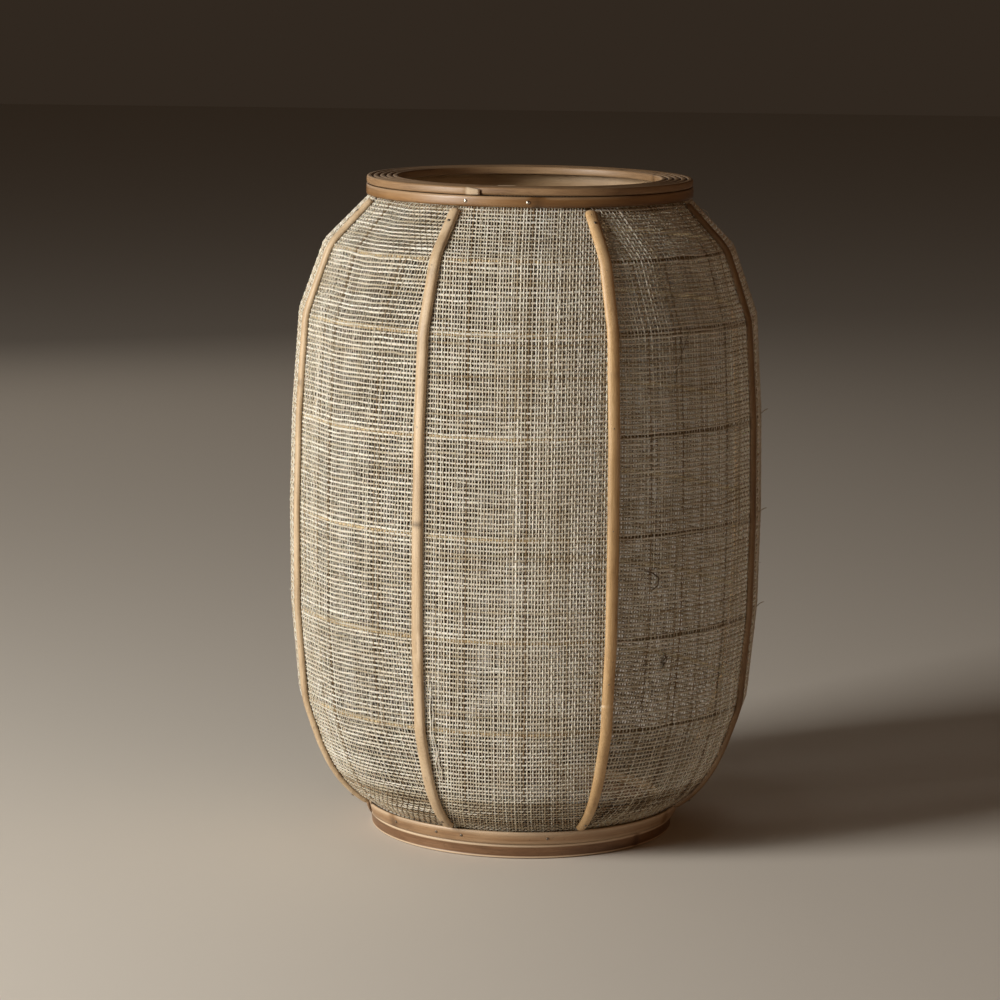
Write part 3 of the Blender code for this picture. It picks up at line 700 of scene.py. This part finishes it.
hoop("top_clamp_hoop", *TOP_HOOP, ["top_inner_hoop"], 41)
hoop("bottom_clamp_hoop", *LOW_HOOP, ["bottom_inner_hoop"], 42)

# ---- fitter and its screws: the CAD shape with eased edges -----------------------------------
plate = bpy.data.objects.new("fitter_plate", nodes["fitter"].data.copy())
bpy.context.scene.collection.objects.link(plate)
plate.data.materials.clear()
plate.data.materials.append(plate_mat)
ease = plate.modifiers.new("eased_edges", "BEVEL")
ease.width, ease.segments = 0.0003, 2
ease.limit_method, ease.angle_limit = "ANGLE", math.radians(40)
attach(plate, "root")
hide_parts("fitter")


# ---- nails and screws -------------------------------------------------------------------------
def turned_mesh(name, profile, sides, mat):
    verts, quads, tris = [], [], []
    for r, h in profile[1:-1]:
        for i in range(sides):
            a = 2 * math.pi * i / sides
            verts.append((r * math.cos(a) * MM, r * math.sin(a) * MM, h * MM))
    rows = len(profile) - 2
    top, foot = len(verts), len(verts) + 1
    verts += [(0, 0, profile[0][1] * MM), (0, 0, profile[-1][1] * MM)]
    for i in range(sides):
        j = (i + 1) % sides
        quads += [(row * sides + j, row * sides + i, (row + 1) * sides + i, (row + 1) * sides + j)
                  for row in range(rows - 1)]
        tris += [(top, i, j), (foot, (rows - 1) * sides + j, (rows - 1) * sides + i)]
    mesh = bpy.data.meshes.new(name)
    mesh.from_pydata(verts, [], quads + tris)
    mesh.polygons.foreach_set("use_smooth", [True] * len(mesh.polygons))
    mesh.materials.append(mat)
    return mesh


def set_in(name, mesh, deg, radius, z, normal, node_name):
    obj = bpy.data.objects.new(name, mesh)
    bpy.context.scene.collection.objects.link(obj)
    turn = math.radians(deg - 90.0)
    obj.location = (radius * math.cos(turn) * MM, radius * math.sin(turn) * MM, z * MM)
    obj.rotation_euler = (0.0, math.atan2(normal[1], normal[0]), turn)
    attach(obj, "root")
    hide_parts(node_name)


dull = turned_mesh("dull_nail", ((0, 0.62), (0.4, 0.58), (0.75, 0.46), (0.95, 0.28), (0.95, 0.1),
                                 (0.55, -0.1), (0.55, -1.3), (0, -1.6)), 16, steel_mat)
bright = turned_mesh("bright_nail", ((0, 0.72), (0.5, 0.68), (0.95, 0.54), (1.2, 0.32), (1.2, 0.16),
                                     (0.55, 0.0), (0.55, -1.3), (0, -1.6)), 20, bright_mat)
for n, deg in enumerate(RIB_DEG):
    for label, z in RIB_NAIL_Z:
        k = int(np.argmin(np.abs(RZ - z)))
        point = shell_at(z)
        reach = RIB_FIRST + RIB_T
        set_in("pin_%s_%d" % (label, n + 1), dull, deg, point[1] + RNR[k] * reach,
               point[0] + RNZ[k] * reach, (RNZ[k], RNR[k]),
               "nail_rib_%s_%d" % (label, n + 1))
for n, deg in enumerate(TOP_TACK_DEG):
    set_in("tack_top_%d" % (n + 1), bright, deg, TOP_R, TOP_TACK_Z, (0.0, 1.0),
           "nail_top_band_%d" % (n + 1))
for n, deg in enumerate(LOW_TACK_DEG):
    set_in("tack_low_%d" % (n + 1), dull, deg, LOW_TACK_R, LOW_TACK_Z, (-0.27, 0.96),
           "nail_bottom_band_%d" % (n + 1))
screw = turned_mesh("pan_screw", ((0, 2.0), (1.0, 1.95), (2.0, 1.7), (2.7, 1.2), (2.9, 0.7), (2.9, 0.3),
                                  (1.5, 0.3), (1.5, -4.3), (0, -5.0)), 24, plate_mat)
for n, deg in enumerate(ARM_DEG):
    set_in("arm_screw_%d" % (n + 1), screw, deg, SCREW_R, SCREW_Z, (0.0, -1.0),
           "fitter_screw_%d" % (n + 1))

# ---- floor, lights, camera -----------------------------------------------------------------------
bpy.ops.mesh.primitive_plane_add(size=14.0, location=(0.0, 2.0, -0.0005))
floor = bpy.context.object
floor.name = "studio_floor"
paper, tree, shader = new_material("floor_paper")
shader.inputs["Base Color"].default_value = (0.71, 0.66, 0.59, 1.0)
shader.inputs["Roughness"].default_value = 0.85
floor.data.materials.append(paper)


def area_light(name, place, aim, size, power, colour):
    lamp = bpy.data.lights.new(name, "AREA")
    lamp.shape, lamp.size, lamp.size_y = "RECTANGLE", size[0], size[1]
    lamp.energy, lamp.color = power, colour
    obj = bpy.data.objects.new(name, lamp)
    bpy.context.scene.collection.objects.link(obj)
    obj.location = place
    away = np.array(place) - np.array(aim)
    yaw, pitch = math.atan2(away[0], -away[1]), math.atan2(math.hypot(away[0], away[1]), away[2])
    obj.rotation_euler = (pitch, 0.0, yaw)
    return obj


area_light("key", (-1.96, -1.15, 0.86), (0.0, 0.0, 0.22), (0.8, 1.1), 71.0, (1.0, 0.965, 0.905))
area_light("fill", (1.9, -1.5, 0.8), (0.0, 0.0, 0.2), (1.5, 1.5), 3.1, (1.0, 0.47, 0.19))
area_light("back", (-0.9, 2.1, 1.2), (0.0, 0.0, 0.25), (1.4, 1.4), 3.0, (1.0, 0.90, 0.78))
world = bpy.data.worlds.new("studio")
bpy.context.scene.world = world
world.use_nodes = True
world.node_tree.nodes["Background"].inputs[0].default_value = (0.80, 0.56, 0.38, 1.0)
world.node_tree.nodes["Background"].inputs[1].default_value = 0.038

lens = bpy.data.cameras.new("camera")
lens.lens, lens.sensor_width, lens.clip_end = 127.4, 36.0, 50.0
eye = bpy.data.objects.new("camera", lens)
bpy.context.scene.collection.objects.link(eye)
down, away, roll = math.radians(9.4), 2.415, math.radians(0.72)
aim = (-0.0174, 0.0, 0.224)
eye.location = (aim[0], aim[1] - away * math.cos(down), aim[2] + away * math.sin(down))
eye.rotation_mode = "XYZ"
turn = Matrix.Rotation(math.pi / 2 - down, 4, "X") @ Matrix.Rotation(roll, 4, "Z")
eye.rotation_euler = turn.to_euler()
bpy.context.scene.camera = eye
bpy.context.scene.view_settings.view_transform = "Standard"
